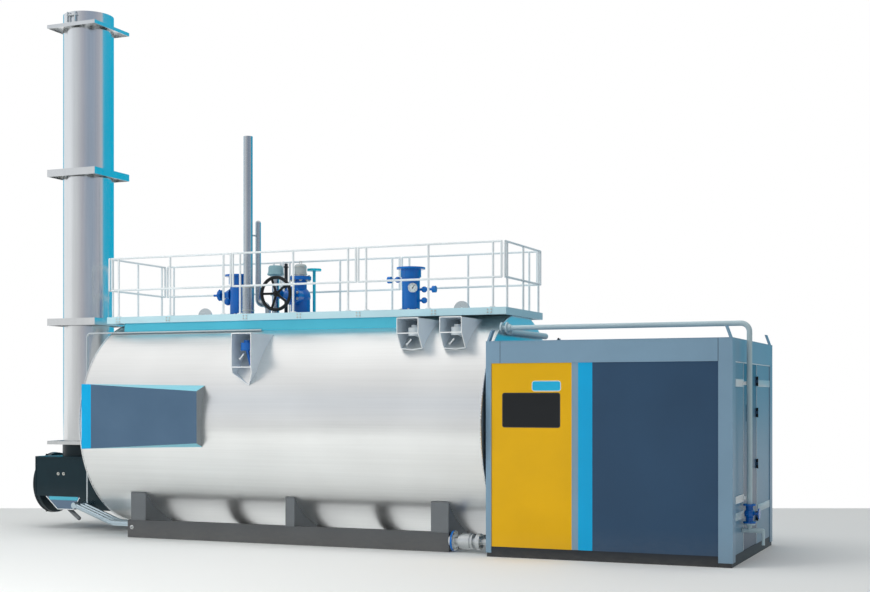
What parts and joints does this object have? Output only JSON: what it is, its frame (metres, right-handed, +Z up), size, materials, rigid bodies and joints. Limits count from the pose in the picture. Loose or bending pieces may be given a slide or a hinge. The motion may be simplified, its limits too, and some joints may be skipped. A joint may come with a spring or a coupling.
{
  "type": "industrial steam boiler",
  "caption": "Horizontal fire-tube steam boiler on a skid, with a railed walkway, flue stack and a burner cabin with a hinged door.",
  "frame": {"origin": "on the ground under the boiler's axis, at the middle of the underside of the skid's middle cross member", "axes": "+X along the boiler towards the cabin, +Y to the back, +Z up"},
  "size_m": [12.865, 3.57, 9.08],
  "materials": {
    "stainless_cladding": "satin",
    "stainless_pipe": "satin",
    "galvanised_steel": "satin",
    "frame_paint": "satin",
    "yellow_paint": "satin",
    "navy_paint": "satin",
    "cyan_paint": "satin",
    "skid_paint": "matte",
    "flue_paint": "satin",
    "valve_blue": "gloss",
    "cap_grey": "matte",
    "drain_steel": "matte",
    "wheel_black": "satin"
  },
  "bodies": {
    "boiler": {"back_railings": "galvanised_steel", "bleed_pipe": "stainless_pipe", "boiler_shell": "stainless_cladding", "cabin_accent_strip": "cyan_paint", "cabin_base": "skid_paint", "cabin_dark_panel": "navy_paint", "cabin_lifting_tabs": "frame_paint", "cabin_mullion": "frame_paint", "cabin_posts": "frame_paint", "cabin_roof": "frame_paint", "cabin_top_band": "frame_paint", "cabin_walls": "frame_paint", "cabin_yellow_panel": "yellow_paint", "door_hinge_pins": "wheel_black", "drain_pipes": "drain_steel", "end_branch": "stainless_pipe", "end_railings": "galvanised_steel", "end_valve": "valve_blue", "feed_valve": "valve_blue", "flank_panel": "navy_paint", "flank_panel_strip": "cyan_paint", "flue_box": "flue_paint", "flue_cradle": "flue_paint", "flue_drum": "flue_paint", "front_end_plate": "stainless_cladding", "front_header": "stainless_pipe", "front_nozzle": "valve_blue", "front_railings": "galvanised_steel", "high_instrument_hoods": "stainless_cladding", "impulse_pipe": "stainless_pipe", "level_instruments": "valve_blue", "lifting_lugs": "stainless_pipe", "low_instrument_hood": "stainless_cladding", "main_steam_valve": "valve_blue", "pipe_brackets": "galvanised_steel", "rear_end_plate": "stainless_cladding", "rear_nozzle": "valve_blue", "roof_pipe": "stainless_pipe", "saddles": "skid_paint", "skid_beams": "skid_paint", "skid_cross_members": "skid_paint", "stack_lower": "stainless_cladding", "stack_middle": "stainless_cladding", "stack_neck": "flue_paint", "stack_upper": "stainless_cladding", "steam_tapping": "stainless_pipe", "steam_valve_cap": "cap_grey", "vent_pipe": "stainless_pipe", "walkway_deck": "galvanised_steel", "walkway_edge_beams": "galvanised_steel", "walkway_supports": "galvanised_steel"},
    "door": {"cabin_door": "navy_paint"},
    "handwheel": {"steam_handwheel": "wheel_black"}
  },
  "joints": [
    {"name": "door_hinge", "type": "hinge", "parent": "boiler", "child": "door", "pos_m": [6.95, 0.253, 1.5], "axis": [0, 0, 1], "range_deg": [0, 110]},
    {"name": "steam_valve_spindle", "type": "hinge", "parent": "boiler", "child": "handwheel", "pos_m": [-0.629, -0.62, 3.99], "axis": [0, -1, 0], "range_deg": [0, 2700]}
  ]
}
